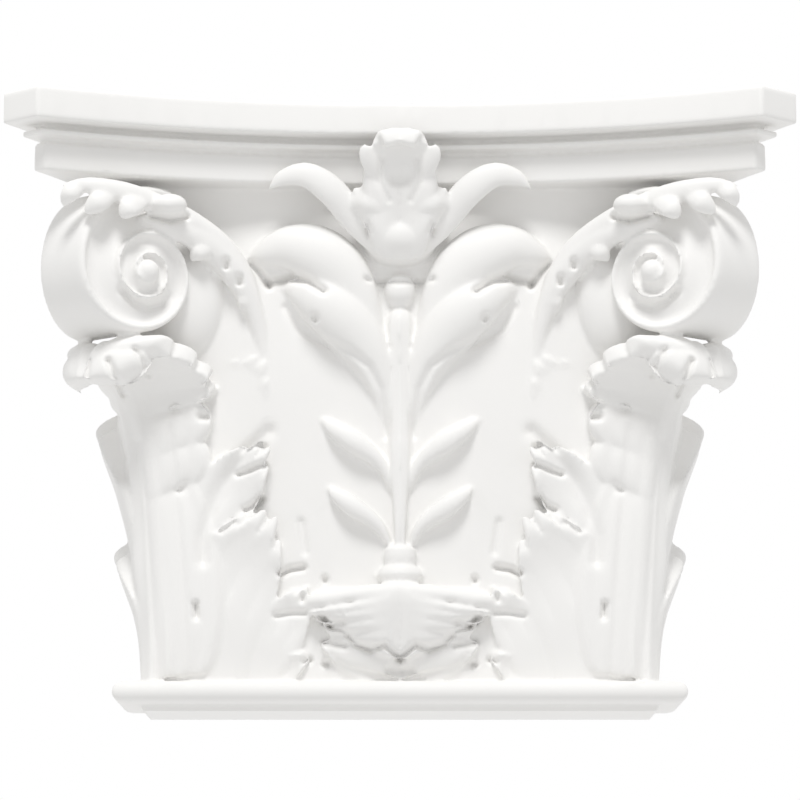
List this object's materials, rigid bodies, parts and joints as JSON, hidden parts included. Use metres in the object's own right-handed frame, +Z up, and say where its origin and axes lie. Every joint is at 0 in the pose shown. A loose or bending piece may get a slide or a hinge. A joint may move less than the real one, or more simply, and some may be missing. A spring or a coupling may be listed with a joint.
{
  "type": "corinthian pilaster capital",
  "caption": "Moulded capital for a flat pilaster, with a hollow-sided abacus, corner scrolls, a central flower and acanthus leaves above a straight bead.",
  "frame": {"origin": "middle of the flat underside, halfway between the wall face and the neck's front face", "axes": "+X along the wall to the right as seen from the front, +Y into the wall, +Z up"},
  "size_m": [0.357, 0.122, 0.275],
  "materials": {
    "white_primer": "smooth matte white primer on moulded rigid polyurethane"
  },
  "bodies": {
    "root": {"capital": "white_primer"}
  },
  "joints": []
}
